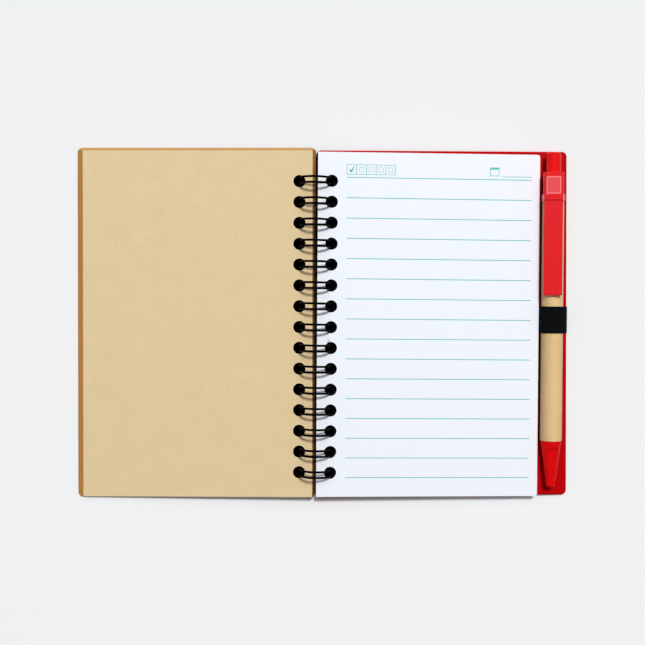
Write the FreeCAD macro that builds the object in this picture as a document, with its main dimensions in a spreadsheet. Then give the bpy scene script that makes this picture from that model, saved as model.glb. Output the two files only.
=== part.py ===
import FreeCAD, Part
import math
import os

import Sketcher
from FreeCAD import Placement, Rotation, Vector

# Spiral notebook with a pen, lying open on a table.
# Two stiff covers and a block of paper hang on fifteen double wire loops.
# The front cover lies open to the left. The page block and the wider back
# cover lie to the right, and the back cover carries a click pen in a loop.
#
# Frame: x runs to the right across the spine, y up along the spine, z up from
# the table. The origin is under the middle of the whole open notebook.
# Each half is drawn flat, measured from the axis of the wire loops, and is
# then turned about that axis until its outer edge touches the table.

X_AXIS = Vector(1, 0, 0)
Y_AXIS = Vector(0, 1, 0)
Z_AXIS = Vector(0, 0, 1)

# Driving dimensions, in millimetres and degrees.
DRIVING = [
    ("wire_thick", 0.9, "coated steel wire"),
    ("ring_radius", 6.2, "wire centre line to ring axis, half-inch loops"),
    ("strand_half", 1.15, "half the spacing of the two strands of a loop"),
    ("ring_skew", 1.2, "each loop leans about the vertical"),
    ("bend_radius", 1.0, "bends between a strand and the link"),
    ("root_angle", 230.0, "where a strand turns into the links, below on the left"),
    ("tip_angle", 97.0, "where a loop ends in its round tip, measured down from the right"),
    ("stub_length", 1.5, "cut end of the wire strip"),
    ("hole_count", 15, "loops and punched holes"),
    ("hole_pitch", 8.467, "three loops to the inch"),
    ("hole_low", -60.76, "lowest loop along the spine"),
    ("hole_play", 0.1, "the two halves sit this much up and down on the wire"),
    ("hole_radius", 2.3, "punched holes"),
    ("page_hole", 6.4, "pages: hole centre from ring axis"),
    ("back_hole", 5.2, "back cover: hole centre from ring axis"),
    ("front_hole", 6.49, "front cover: hole centre from ring axis"),
    ("board_thick", 1.5, "cover board with its covering paper"),
    ("board_corner", 2.0, "rounded corners of the boards"),
    ("board_edge", 0.35, "soft edge of the wrapped boards"),
    ("front_reach", 97.0, "front cover from the ring axis to its fore-edge"),
    ("front_spine", 0.12, "front cover: spine edge past the ring axis"),
    ("front_low", -71.0, "front cover: lower edge"),
    ("front_high", 71.4, "front cover: upper edge"),
    ("front_under", 2.5, "front cover: outer face below the ring axis"),
    ("lining_thick", 0.2, "kraft endpaper glued inside the front cover"),
    ("lining_reach", 94.8, "endpaper: left edge from the ring axis"),
    ("lining_spine", 1.2, "endpaper: right edge from the ring axis"),
    ("lining_low", -70.95, "endpaper: lower edge"),
    ("lining_high", 70.3, "endpaper: upper edge"),
    ("back_reach", 104.41, "back cover from the ring axis to its fore-edge"),
    ("back_spine", 0.95, "back cover: spine edge from the ring axis"),
    ("back_low", -71.5, "back cover: lower edge"),
    ("back_high", 70.62, "back cover: upper edge"),
    ("back_skew", 0.24, "the back cover is cut a little out of square"),
    ("page_thick", 3.4, "block of about forty leaves"),
    ("page_under", 2.7, "page block: underside below the ring axis"),
    ("page_reach", 91.75, "page block: right edge from the ring axis"),
    ("page_spine", 0.75, "page block: left edge from the ring axis"),
    ("page_low", -70.55, "page block: lower edge"),
    ("page_high", 69.45, "page block: upper edge"),
    ("page_corner", 1.0, "rounded outer corners of the leaves"),
    ("page_skew", -0.25, "the block is trimmed a little out of square"),
    ("pen_x", 96.88, "pen axis from the ring axis, at mid height"),
    ("pen_lean", -0.26, "pen axis against the spine"),
    ("pen_roll", 15.0, "the clip leans towards the pages"),
    ("pen_start", -66.5, "front end of the pen along the spine"),
    ("barrel_radius", 4.38, "kraft paper tube"),
    ("barrel_wall", 0.65, "wall of the paper tube"),
    ("plug_gap", 0.03, "plastic plugs inside the tube"),
    ("nose_length", 18.8, "visible length of the nose"),
    ("nose_end_radius", 1.75, "front end of the nose"),
    ("nose_shoulder", 4.2, "nose where it meets the tube"),
    ("plug_length", 8.0, "part of a plug inside the tube"),
    ("flat_end", 1.35, "nose flat above the pen axis at the front end"),
    ("flat_back", 3.0, "nose flat above the pen axis where it runs out"),
    ("flat_length", 15.1, "nose flat along the pen"),
    ("flat_run_out", 5.2, "slope at the back of the nose flat"),
    ("dimple_radius", 0.4, "moulded dimple in the nose flat"),
    ("dimple_depth", 0.35, "depth of the dimple"),
    ("dimple_margin", 0.2, "from the dimple to the back of the flat"),
    ("nib_bore", 1.2, "bore for the refill tip"),
    ("spring_bore", 1.9, "bore for the return spring"),
    ("spring_seat", 7.0, "ledge that the return spring stands on"),
    ("barrel_end", 116.2, "top end of the tube from the front end of the pen"),
    ("bar_top", 118.9, "top of the cross bar of the clip"),
    ("head_top", 127.8, "top of the square head"),
    ("bar_half", 4.55, "half the width of the cross bar"),
    ("bar_height", 7.0, "cross bar above the pen axis"),
    ("bar_top_half", 3.6, "half the width of the cross bar at its top"),
    ("bar_shoulder", 2.5, "height where the sides of the cross bar start to lean in"),
    ("bar_low", 1.2, "underside of the cross bar above the pen axis"),
    ("bar_round", 0.5, "soft edge round the top of the cross bar"),
    ("head_half", 4.05, "half the width of the square head"),
    ("head_height", 6.1, "square head above the pen axis"),
    ("head_low", 3.2, "square head below the pen axis"),
    ("head_round", 1.4, "rounded edges along the square head"),
    ("pad_half", 2.9, "half the width of the textured pad"),
    ("pad_height", 6.7, "textured pad above the pen axis"),
    ("pad_margin", 1.9, "from the pad to the top of the head"),
    ("pad_round", 0.25, "soft edge round the pad"),
    ("clip_start", 78.1, "free end of the clip"),
    ("clip_half", 3.7, "half the width of the clip blade"),
    ("clip_low", 5.3, "underside of the clip blade above the pen axis"),
    ("clip_high", 6.5, "top of the clip blade above the pen axis"),
    ("clip_root", 0.5, "part of the clip blade inside the cross bar"),
    ("clip_round", 0.4, "soft edge of the clip blade"),
    ("clip_foot_half", 2.9, "half the width of the foot under the clip's free end"),
    ("clip_foot_start", 0.6, "from the free end of the clip to its foot"),
    ("clip_foot_end", 3.2, "from the free end of the clip to the back of its foot"),
    ("clip_foot_gap", 0.1, "between the foot of the clip and the tube"),
    ("button_radius", 3.0, "push button"),
    ("button_end", 136.2, "top of the push button, ready to click"),
    ("button_bore", 3.06, "guide bore in the square head"),
    ("collar_radius", 3.2, "collar that keeps the button in"),
    ("cavity_radius", 3.28, "wider bore that the collar slides in"),
    ("guide_length", 5.0, "length of the guide bore"),
    ("collar_gap", 0.1, "from the guide bore to the collar"),
    ("collar_length", 2.0, "collar along the button"),
    ("stem_radius", 2.6, "push button below its collar"),
    ("stem_bore", 1.6, "hollow of the push button"),
    ("stem_low", 18.2, "lower end of the push button, below the top of the head"),
    ("button_bevel", 0.5, "bevel round the end of the push button"),
    ("button_roof", 1.6, "closed end of the push button"),
    ("cam_pin", 1.5, "radius of the pin that stands in the push button"),
    ("cam_pin_end", 14.0, "end of the cam's pin, below the top of the head"),
    ("cam_step", 18.3, "shoulder of the cam, below the top of the head"),
    ("cam_seat", 23.0, "end of the ink tube in the cam, below the top of the head"),
    ("cam_low", 25.0, "lower end of the cam, below the top of the head"),
    ("hub_radius", 2.2, "hub of the cam"),
    ("fin_reach", 2.9, "fins of the cam, from the pen axis"),
    ("fin_half", 0.5, "half the thickness of a fin"),
    ("fin_high", 19.0, "upper end of the fins, below the top of the head"),
    ("fin_low", 24.5, "lower end of the fins, below the top of the head"),
    ("fit_gap", 0.02, "ink tube and ball in their sockets"),
    ("refill_radius", 1.5, "ink tube"),
    ("refill_bore", 1.05, "bore of the ink tube"),
    ("lip_radius", 1.8, "lip of the ink tube that the spring pushes on"),
    ("lip_length", 1.5, "lip along the ink tube"),
    ("lip_gap", 0.1, "between the lip and the spring"),
    ("nib_radius", 1.1, "refill tip behind its cone"),
    ("nib_cone", 5.0, "end of the cone of the refill tip"),
    ("nib_tail", 1.0, "radius of the refill tip inside the ink tube"),
    ("nib_tail_length", 3.9, "refill tip inside the ink tube"),
    ("ball_out", 0.4, "part of the ball in front of its rim"),
    ("rim_wall", 0.1, "wall of the rim round the ball"),
    ("ball_radius", 0.5, "writing ball"),
    ("nib_back", 1.0, "writing ball inside the nose, ready to click"),
    ("spring_wire", 0.35, "return spring wire"),
    ("spring_radius", 1.6, "return spring, centre line"),
    ("spring_length", 13.6, "return spring as it stands"),
    ("spring_turns", 8, "turns of the return spring"),
    ("loop_thick", 0.6, "woven elastic"),
    ("loop_width", 11.0, "elastic along the pen"),
    ("loop_centre", 1.65, "middle of the elastic along the spine"),
    ("loop_foot_half", 3.0, "half the width of the glued foot of the loop"),
    ("loop_foot_rise", 1.2, "height of the glued foot of the loop"),
    ("overcut", 1.5, "cutting tools reach this far past what they cut"),
]

doc = FreeCAD.newDocument("spiral_notebook")
sheet = doc.addObject("Spreadsheet::Sheet", "dims")
size = {}
for row, (alias, value, meaning) in enumerate(DRIVING, start=1):
    sheet.set("A%d" % row, alias)
    sheet.set("B%d" % row, str(value))
    sheet.set("C%d" % row, meaning)
    sheet.setAlias("B%d" % row, alias)
    size[alias] = value
doc.recompute()


# Words of the sheet as numbers and as expressions

def measure(words):
    """The number that a sum such as 'nose_length + plug_length' stands for."""
    total = 0.0
    sign = 1.0
    for word in str(words).split():
        if word in "+-":
            sign = 1.0 if word == "+" else -1.0
        else:
            total += sign * (size[word] if word in size else float(word))
    return total


def formula(words):
    """The same sum as an expression on the sheet."""
    named = ["dims." + word if word in size else word for word in str(words).split()]
    return " ".join(named)


def bind(thing, **properties):
    """Bind properties of an object to sums of driving dimensions."""
    for name, words in properties.items():
        thing.setExpression(name, formula(words))
    return thing


# Sketches and features

def new_body(label):
    body = doc.addObject("PartDesign::Body", label + "_body")
    body.Label = label
    return body


def sketch_on(body, role):
    """A sketch on one of the body's own origin planes."""
    sketch = body.newObject("Sketcher::SketchObject", body.Name + "_sketch")
    flat = next(item for item in body.Origin.OriginFeatures if item.Role == role)
    sketch.AttachmentSupport = (flat, [""])
    sketch.MapMode = "FlatFace"
    return sketch


def pin(sketch, line, axis, words):
    """Fix the first point of a line at a distance along one sketch axis."""
    if measure(words) == 0:
        sketch.addConstraint(Sketcher.Constraint("PointOnObject", line, 1, -2 if axis == "X" else -1))
        return
    number = sketch.addConstraint(
        Sketcher.Constraint("Distance" + axis, -1, 1, line, 1, measure(words)))
    sketch.setExpression("Constraints[%d]" % number, formula(words))


def polygon(sketch, corners):
    """Closed straight outline, with every corner bound to the sheet."""
    points = [Vector(measure(across), measure(along), 0) for across, along in corners]
    for start, end in zip(points, points[1:] + points[:1]):
        sketch.addGeometry(Part.LineSegment(start, end))
    for line in range(len(points)):
        following = (line + 1) % len(points)
        sketch.addConstraint(Sketcher.Constraint("Coincident", line, 2, following, 1))
    for line, (across, along) in enumerate(corners):
        pin(sketch, line, "X", across)
        pin(sketch, line, "Y", along)


def edges_where(feature, wanted):
    """Names of the feature's edges that pass a test on their two end points."""
    names = []
    for number, edge in enumerate(feature.Shape.Edges, start=1):
        first, last = edge.Vertexes[0].Point, edge.Vertexes[-1].Point
        if wanted(first, last):
            names.append("Edge%d" % number)
    return names


def is_upright(first, last):
    return abs(first.x - last.x) < 1e-6 and abs(first.y - last.y) < 1e-6


def is_level(first, last):
    return abs(first.z - last.z) < 1e-6


def sheet_with_holes(label, left, right, low, high, thick, hole, corner="0", edge="0",
                     corners_at=is_upright, skew="0", play="0"):
    """A flat rectangular piece with rounded corners and its row of punched holes."""
    body = new_body(label)
    outline = sketch_on(body, "XY_Plane")
    polygon(outline, [(left, low), (right, low), (right, high), (left, high)])
    if measure(skew):
        outline.AttachmentOffset = Placement(Vector(), Rotation(Z_AXIS, measure(skew)),
                                             Vector(measure(hole), 0, 0))
    pad = body.newObject("PartDesign::Pad", body.Name + "_pad")
    pad.Profile = outline
    bind(pad, Length=thick)
    doc.recompute()
    base = pad
    if measure(corner):
        base = body.newObject("PartDesign::Fillet", body.Name + "_corners")
        base.Base = (pad, edges_where(pad, corners_at))
        bind(base, Radius=corner)
        doc.recompute()
    if measure(edge):
        soft = body.newObject("PartDesign::Fillet", body.Name + "_edges")
        soft.Base = (base, edges_where(base, is_level))
        bind(soft, Radius=edge)
        doc.recompute()
    punch = sketch_on(body, "XY_Plane")
    punch.addGeometry(Part.Circle(Vector(measure(hole), measure("hole_low + " + play), 0), Z_AXIS,
                                  size["hole_radius"]))
    radius = punch.addConstraint(Sketcher.Constraint("Radius", 0, size["hole_radius"]))
    punch.setExpression("Constraints[%d]" % radius, formula("hole_radius"))
    for axis, words in (("X", hole), ("Y", "hole_low + " + play)):
        number = punch.addConstraint(
            Sketcher.Constraint("Distance" + axis, -1, 1, 0, 3, measure(words)))
        punch.setExpression("Constraints[%d]" % number, formula(words))
    pocket = body.newObject("PartDesign::Pocket", body.Name + "_hole")
    pocket.Profile = punch
    pocket.Type = "ThroughAll"
    pocket.Reversed = True
    doc.recompute()
    row = body.newObject("PartDesign::LinearPattern", body.Name + "_holes")
    row.Originals = [pocket]
    row.Direction = (punch, ["V_Axis"])
    row.setExpression("Length", "dims.hole_pitch * (dims.hole_count - 1)")
    row.setExpression("Occurrences", "dims.hole_count")
    body.Tip = row
    doc.recompute()
    return body


def turned(label, corners):
    """A turned piece: its closed half section, radius then height, spun about z."""
    body = new_body(label)
    section = sketch_on(body, "XZ_Plane")
    polygon(section, corners)
    spin = body.newObject("PartDesign::Revolution", body.Name + "_spin")
    spin.Profile = section
    spin.ReferenceAxis = (section, ["V_Axis"])
    spin.Angle = 360
    doc.recompute()
    return body


def block(name, half, low, high, start, end):
    """A box centred across x, from low to high in y and from start to end along z."""
    box = doc.addObject("Part::Box", name)
    box.setExpression("Length", "2 * (%s)" % formula(half))
    box.setExpression("Width", "%s - (%s)" % (formula(high), formula(low)))
    box.setExpression("Height", "%s - (%s)" % (formula(end), formula(start)))
    box.setExpression(".Placement.Base.x", "-1 * (%s)" % formula(half))
    box.setExpression(".Placement.Base.y", formula(low))
    box.setExpression(".Placement.Base.z", formula(start))
    doc.recompute()
    return box


def prism(label, corners, start, end):
    """An outline across the pen, drawn out along it from start to end."""
    body = new_body(label)
    outline = sketch_on(body, "XY_Plane")
    polygon(outline, corners)
    outline.setExpression(".AttachmentOffset.Base.z", formula(start))
    pad = body.newObject("PartDesign::Pad", body.Name + "_pad")
    pad.Profile = outline
    pad.setExpression("Length", "%s - (%s)" % (formula(end), formula(start)))
    doc.recompute()
    return body


def rounded(name, base, radius, wanted):
    """The base with the edges that pass the test rounded."""
    fillet = doc.addObject("Part::Fillet", name)
    fillet.Base = base
    numbers = [int(edge[4:]) for edge in edges_where(base, wanted)]
    fillet.Edges = [(number, radius, radius) for number in numbers]
    doc.recompute()
    return fillet


def joined(name, pieces):
    union = doc.addObject("Part::MultiFuse", name)
    union.Shapes = pieces
    union.Refine = True
    doc.recompute()
    return union


def without(name, base, tool):
    difference = doc.addObject("Part::Cut", name)
    difference.Base = base
    difference.Tool = tool
    doc.recompute()
    return difference


# Where each half lies

def tilt_to_table(reach, under):
    """Degrees that a board turns about the ring axis until its outer edge is at z = 0."""
    soft = size["board_edge"]
    across = reach - soft
    down = under - soft
    height = measure("ring_radius") + size["wire_thick"] / 2 - soft
    return math.degrees(math.asin(height / math.hypot(across, down)) - math.atan2(down, across))


ring_height = size["ring_radius"] + size["wire_thick"] / 2
back_under = measure("page_under + board_thick")
corner_level = measure("back_low + board_corner")
right_reach = size["back_reach"] - corner_level * math.sin(math.radians(size["back_skew"]))
right_tilt = tilt_to_table(right_reach, back_under)
left_tilt = tilt_to_table(size["front_reach"], size["front_under"])

soft = size["board_edge"]
right_end = ((right_reach - soft) * math.cos(math.radians(right_tilt))
             - (size["page_under"] + soft) * math.sin(math.radians(right_tilt)) + soft)
left_end = (-(size["front_reach"] - soft) * math.cos(math.radians(left_tilt))
            + (measure("front_under - board_thick") + soft) * math.sin(math.radians(left_tilt)) - soft)
ring_x = -(right_end + left_end) / 2

ring_place = Placement(Vector(ring_x, 0, ring_height), Rotation())
right_place = Placement(Vector(ring_x, 0, ring_height), Rotation(Y_AXIS, right_tilt))
left_place = Placement(Vector(ring_x, 0, ring_height), Rotation(Y_AXIS, -left_tilt))


def lifted(place, height):
    """The same half, moved along its own upright."""
    return place * Placement(Vector(0, 0, height), Rotation())


# Covers, endpaper and page block

front_cover = sheet_with_holes(
    "front_cover", "- front_reach", "front_spine", "front_low", "front_high", "board_thick",
    "- front_hole", corner="board_corner", edge="board_edge", play="hole_play")
front_cover.Placement = lifted(left_place, -size["front_under"])

front_endpaper = sheet_with_holes(
    "front_endpaper", "- lining_reach", "- lining_spine", "lining_low", "lining_high",
    "lining_thick", "- front_hole", play="hole_play")
front_endpaper.Placement = lifted(left_place, measure("board_thick - front_under"))

back_cover = sheet_with_holes(
    "back_cover", "back_spine", "back_reach", "back_low", "back_high", "board_thick",
    "back_hole", corner="board_corner", edge="board_edge", skew="back_skew", play="- hole_play")
back_cover.Placement = lifted(right_place, -back_under)


def is_outer_upright(first, last):
    return is_upright(first, last) and first.x > size["page_reach"] / 2


page_block = sheet_with_holes(
    "page_block", "page_spine", "page_reach", "page_low", "page_high", "page_thick",
    "page_hole", corner="page_corner", corners_at=is_outer_upright, skew="page_skew",
    play="- hole_play")
page_block.Placement = lifted(right_place, -size["page_under"])


# Binding wire: one strip of wire, bent into loops, links and round tips

def on_ring(angle, across, turn):
    """A point of a loop's strand and the direction in which the angle falls there."""
    radius = size["ring_radius"]
    point = Vector(radius * math.cos(angle), across, radius * math.sin(angle))
    travel = Vector(math.sin(angle), 0, -math.cos(angle))
    return turn.multVec(point), turn.multVec(travel)


def arc_edge(start, middle, end):
    return Part.Arc(start, middle, end).toShape()


def bend_edge(corner, incoming, outgoing, reach):
    """The arc that rounds a corner, from reach before it to reach after it."""
    half_turn = incoming.getAngle(outgoing) / 2
    radius = reach / math.tan(half_turn)
    inward = (outgoing - incoming).normalize()
    centre = corner + inward * (radius / math.cos(half_turn))
    return arc_edge(corner - incoming * reach, centre - inward * radius, corner + outgoing * reach)


def loop_points():
    """For each loop, from the top one down: root, crown, tip and corner of both strands."""
    turn = Rotation(Z_AXIS, -size["ring_skew"])
    angles = (math.radians(size["root_angle"]), -math.radians(size["tip_angle"]))
    crown_angle = sum(angles) / 2
    loops = []
    for count in reversed(range(size["hole_count"])):
        lift = Vector(0, size["hole_low"] + count * size["hole_pitch"], 0)
        strands = []
        for side in (size["strand_half"], -size["strand_half"]):
            root, root_travel = on_ring(angles[0], side, turn)
            crown = on_ring(crown_angle, side, turn)[0]
            tip, tip_travel = on_ring(angles[1], side, turn)
            corner = root - root_travel * size["bend_radius"]
            strands.append([point + lift for point in (root, crown, tip, corner)])
        loops.append(strands)
    return loops, root_travel, tip_travel


def wire_path():
    """Edges of the whole strip, from its upper cut end to its lower one."""
    loops, root_travel, tip_travel = loop_points()
    reach = size["bend_radius"]
    stub = Vector(0, size["stub_length"] + reach, 0)
    above = loops[0][0][3] + stub
    edges = []
    for number, (upper, lower) in enumerate(loops):
        last = number == len(loops) - 1
        below = lower[3] - stub if last else loops[number + 1][0][3]
        incoming = (upper[3] - above).normalize()
        outgoing = (below - lower[3]).normalize()
        link_start = above if number == 0 else above + incoming * reach
        edges.append(Part.LineSegment(link_start, upper[3] - incoming * reach).toShape())
        edges.append(bend_edge(upper[3], incoming, root_travel, reach))
        edges.append(arc_edge(*upper[:3]))
        tip_middle = (upper[2] + lower[2]) / 2 + tip_travel * size["strand_half"]
        edges.append(arc_edge(upper[2], tip_middle, lower[2]))
        edges.append(arc_edge(lower[2], lower[1], lower[0]))
        edges.append(bend_edge(lower[3], root_travel * -1, outgoing, reach))
        above = lower[3]
    edges.append(Part.LineSegment(above + outgoing * reach, below).toShape())
    return edges


path_edges = wire_path()
wire_line = doc.addObject("Part::Feature", "binding_wire_line")
wire_line.Shape = Part.Wire(path_edges)
wire_section = doc.addObject("Part::Circle", "binding_wire_section")
wire_section.setExpression("Radius", "dims.wire_thick / 2")
wire_section.Placement = Placement(path_edges[0].Vertexes[0].Point, Rotation(X_AXIS, 90))
doc.recompute()
binding_wire = doc.addObject("Part::Sweep", "binding_wire_sweep")
binding_wire.Label = "binding_wire"
binding_wire.Sections = [wire_section]
binding_wire.Spine = (wire_line, ["Edge%d" % number for number in range(1, len(path_edges) + 1)])
binding_wire.Solid = True
binding_wire.Placement = ring_place
doc.recompute()


# The pen lies on the elastic, along the spine. Its own parts are drawn on the
# z axis from the front end upwards, with the clip on the +y side.

axis_height = measure("loop_thick + barrel_radius - page_under")
pen_line = (right_place
            * Placement(Vector(size["pen_x"], 0, axis_height), Rotation(Z_AXIS, size["pen_lean"]))
            * Placement(Vector(0, size["pen_start"], 0), Rotation()))
upright = Rotation(Y_AXIS, 180) * Rotation(X_AXIS, -90)
leaning = Rotation(Y_AXIS, 180 - size["pen_roll"]) * Rotation(X_AXIS, -90)
nose_place = pen_line * Placement(Vector(), upright)
pen_place = pen_line * Placement(Vector(), leaning)

pen_barrel = turned("pen_barrel", [
    ("barrel_radius - barrel_wall", "nose_length"), ("barrel_radius", "nose_length"),
    ("barrel_radius", "barrel_end"), ("barrel_radius - barrel_wall", "barrel_end")])
pen_barrel.Placement = pen_place

# Nose: a tapered moulding with a flat above and below, and a plug at the back.
nose_turned = turned("nose_turned", [
    ("nib_bore", "0"), ("nose_end_radius", "0"), ("nose_shoulder", "nose_length"),
    ("barrel_radius - barrel_wall - plug_gap", "nose_length"),
    ("barrel_radius - barrel_wall - plug_gap", "nose_length + plug_length"),
    ("spring_bore", "nose_length + plug_length"), ("spring_bore", "spring_seat"),
    ("nib_bore", "spring_seat")])


def nose_flat(name, side):
    """The wedge that a flat of the nose takes away, on the side given by its sign."""
    reach = measure("barrel_radius + overcut")
    above = side * reach
    outline = [Vector(-reach, side * size["flat_end"], -size["overcut"]),
               Vector(-reach, side * size["flat_back"], size["flat_length"]),
               Vector(-reach, above, measure("flat_length + flat_run_out")),
               Vector(-reach, above, -size["overcut"])]
    wedge = doc.addObject("Part::Feature", name)
    wedge.Shape = Part.Face(Part.makePolygon(outline + outline[:1])).extrude(Vector(2 * reach, 0, 0))
    return wedge


dimple = doc.addObject("Part::Cylinder", "nose_dimple")
bind(dimple, Radius="dimple_radius", Height="barrel_radius")
dimple.Placement = Placement(Vector(0, measure("flat_back - dimple_depth"),
                                    measure("flat_length - dimple_radius - dimple_margin")),
                             Rotation(X_AXIS, -90))
pen_nose = without("pen_nose", nose_turned,
                   joined("nose_cuts", [nose_flat("flat_above", 1), nose_flat("flat_below", -1), dimple]))
pen_nose.Label = "pen_nose"
pen_nose.Placement = nose_place

# Top of the pen: plug, square head, cross bar and clip are one moulding.
top_plug = turned("top_plug", [
    ("cavity_radius", "barrel_end - plug_length"),
    ("barrel_radius - barrel_wall - plug_gap", "barrel_end - plug_length"),
    ("barrel_radius - barrel_wall - plug_gap", "barrel_end"),
    ("barrel_radius", "barrel_end"), ("barrel_radius", "bar_top"),
    ("head_half", "bar_top"), ("head_half", "head_top"),
    ("button_bore", "head_top"), ("button_bore", "head_top - guide_length"),
    ("cavity_radius", "head_top - guide_length")])


def is_lengthwise_upper(first, last):
    return is_upright(first, last) and first.y > 0


def is_top_outline(height):
    return lambda first, last: min(first.y, last.y) > height - 1e-6


head_block = rounded("head_rounded",
                     block("head_box", "head_half", "- head_low", "head_height", "bar_top", "head_top"),
                     size["head_round"], is_lengthwise_upper)
cross_bar = rounded("bar_rounded",
                    prism("bar_prism", [
                        ("- bar_half", "bar_low"), ("bar_half", "bar_low"),
                        ("bar_half", "bar_shoulder"), ("bar_top_half", "bar_height"),
                        ("- bar_top_half", "bar_height"), ("- bar_half", "bar_shoulder")],
                          "barrel_end", "bar_top"),
                    size["bar_round"], is_top_outline(size["bar_height"]))
head_pad = rounded("pad_rounded",
                   block("pad_box", "pad_half", "head_height - head_round", "pad_height",
                         "bar_top - bar_round", "head_top - pad_margin"),
                   size["pad_round"], is_top_outline(size["pad_height"]))
clip_blade = rounded("clip_rounded",
                     block("clip_box", "clip_half", "clip_low", "clip_high", "clip_start",
                           "barrel_end + clip_root"),
                     size["clip_round"], is_top_outline(size["clip_high"]))
clip_foot = rounded("clip_foot_rounded",
                    block("clip_foot", "clip_foot_half", "barrel_radius + clip_foot_gap",
                          "clip_low + clip_round", "clip_start + clip_foot_start",
                          "clip_start + clip_foot_end"),
                    size["clip_round"], is_upright)

button_way = doc.addObject("Part::Cylinder", "button_way")
bind(button_way, Radius="button_bore", Height="guide_length + overcut")
button_way.setExpression(".Placement.Base.z", formula("head_top - guide_length"))
collar_way = doc.addObject("Part::Cylinder", "collar_way")
bind(collar_way, Radius="cavity_radius",
     Height="head_top - guide_length - barrel_end + plug_length + overcut")
collar_way.setExpression(".Placement.Base.z", formula("barrel_end - plug_length - overcut"))
doc.recompute()
pen_top = without("pen_top", joined("pen_top_outside", [top_plug, head_block, cross_bar, head_pad,
                                                        clip_blade, clip_foot]),
                  joined("pen_top_inside", [button_way, collar_way]))
pen_top.Label = "pen_top"
pen_top.Placement = pen_place

collar_high = "head_top - guide_length - collar_gap"
collar_low = collar_high + " - collar_length"
push_button = turned("push_button", [
    ("stem_bore", "head_top - stem_low"), ("stem_radius", "head_top - stem_low"),
    ("stem_radius", collar_low), ("collar_radius", collar_low),
    ("collar_radius", collar_high), ("button_radius", collar_high),
    ("button_radius", "button_end - button_bevel"), ("button_radius - button_bevel", "button_end"),
    ("0", "button_end"), ("0", "button_end - button_roof"), ("stem_bore", "button_end - button_roof")])
push_button.Placement = pen_place

# Cam: four fins on a hub, with a pin above and a socket for the ink tube below.
socket_radius = "refill_radius + fit_gap"
cam_hub = turned("cam_hub", [
    ("0", "head_top - cam_seat"), (socket_radius, "head_top - cam_seat"),
    (socket_radius, "head_top - cam_low"), ("hub_radius", "head_top - cam_low"),
    ("hub_radius", "head_top - cam_step"), ("cam_pin", "head_top - cam_step"),
    ("cam_pin", "head_top - cam_pin_end"), ("0", "head_top - cam_pin_end")])
fin_across = block("cam_fin", "fin_half", "- fin_reach", "fin_reach", "head_top - fin_low",
                   "head_top - fin_high")
fin_along = block("cam_fin_turned", "fin_reach", "- fin_half", "fin_half", "head_top - fin_low",
                  "head_top - fin_high")
cam_socket = doc.addObject("Part::Cylinder", "cam_socket")
bind(cam_socket, Radius=socket_radius, Height="cam_low - cam_seat + overcut")
cam_socket.setExpression(".Placement.Base.z", formula("head_top - cam_low - overcut"))
doc.recompute()
cam_rotor = without("cam_rotor", joined("cam_outside", [cam_hub, fin_across, fin_along]), cam_socket)
cam_rotor.Label = "cam_rotor"
cam_rotor.Placement = pen_place

lip_low = "spring_seat + spring_length + lip_gap"
lip_high = lip_low + " + lip_length"
refill_tube = turned("refill_tube", [
    ("refill_bore", lip_low), ("lip_radius", lip_low), ("lip_radius", lip_high),
    ("refill_radius", lip_high), ("refill_radius", "head_top - cam_seat"),
    ("refill_bore", "head_top - cam_seat")])
refill_tube.Placement = pen_place

ball_socket = "ball_radius + fit_gap"
socket_end = "nib_back + ball_radius + " + ball_socket
rim = "nib_back + ball_out"
refill_tip = turned("refill_tip", [
    ("0", socket_end), (ball_socket, socket_end), (ball_socket, rim),
    (ball_socket + " + rim_wall", rim), ("nib_radius", "nib_back + nib_cone"),
    ("nib_radius", lip_low), ("nib_tail", lip_low), ("nib_tail", lip_low + " + nib_tail_length"),
    ("0", lip_low + " + nib_tail_length")])
refill_tip.Placement = pen_place

writing_ball = doc.addObject("Part::Sphere", "writing_ball")
bind(writing_ball, Radius="ball_radius")
writing_ball.Placement = pen_place * Placement(
    Vector(0, 0, measure("nib_back + ball_radius")), Rotation())

helix_pitch = (size["spring_length"] - size["spring_wire"]) / size["spring_turns"]
spring_line = Part.makeHelix(helix_pitch, size["spring_length"] - size["spring_wire"],
                             size["spring_radius"])
# The section is two half circles, so that the swept wire has no single seam and meshes closed.
section_centre = Vector(size["spring_radius"], 0, 0)
aside = X_AXIS * (size["spring_wire"] / 2)
above = Z_AXIS * (size["spring_wire"] / 2)
spring_section = Part.Wire([
    arc_edge(section_centre + aside, section_centre + above, section_centre - aside),
    arc_edge(section_centre - aside, section_centre - above, section_centre + aside)])
return_spring = doc.addObject("Part::Feature", "return_spring")
return_spring.Shape = Part.Wire(spring_line).makePipeShell([spring_section], True, True)
return_spring.Placement = nose_place * Placement(
    Vector(0, 0, measure("spring_seat") + size["spring_wire"] / 2), Rotation())


# Elastic loop: a closed band around the barrel, glued down on a flat foot

loop_outer = doc.addObject("Part::Cylinder", "loop_outer")
bind(loop_outer, Radius="barrel_radius + loop_thick", Height="loop_width")
loop_foot = doc.addObject("Part::Box", "loop_foot")
bind(loop_foot, Width="loop_foot_rise", Height="loop_width")
loop_foot.setExpression("Length", "2 * dims.loop_foot_half")
loop_foot.setExpression(".Placement.Base.x", "-1 * dims.loop_foot_half")
loop_foot.setExpression(".Placement.Base.y", "-1 * (dims.barrel_radius + dims.loop_thick)")
loop_way = doc.addObject("Part::Cylinder", "loop_way")
bind(loop_way, Radius="barrel_radius", Height="loop_width")
doc.recompute()
pen_loop = without("pen_loop", joined("loop_outside", [loop_outer, loop_foot]), loop_way)
pen_loop.Label = "pen_loop"
loop_from_nose = measure("loop_centre - pen_start") - size["loop_width"] / 2
pen_loop.Placement = nose_place * Placement(Vector(0, 0, loop_from_nose), Rotation())
doc.recompute()

# Check every object and write each sub-part

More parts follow.
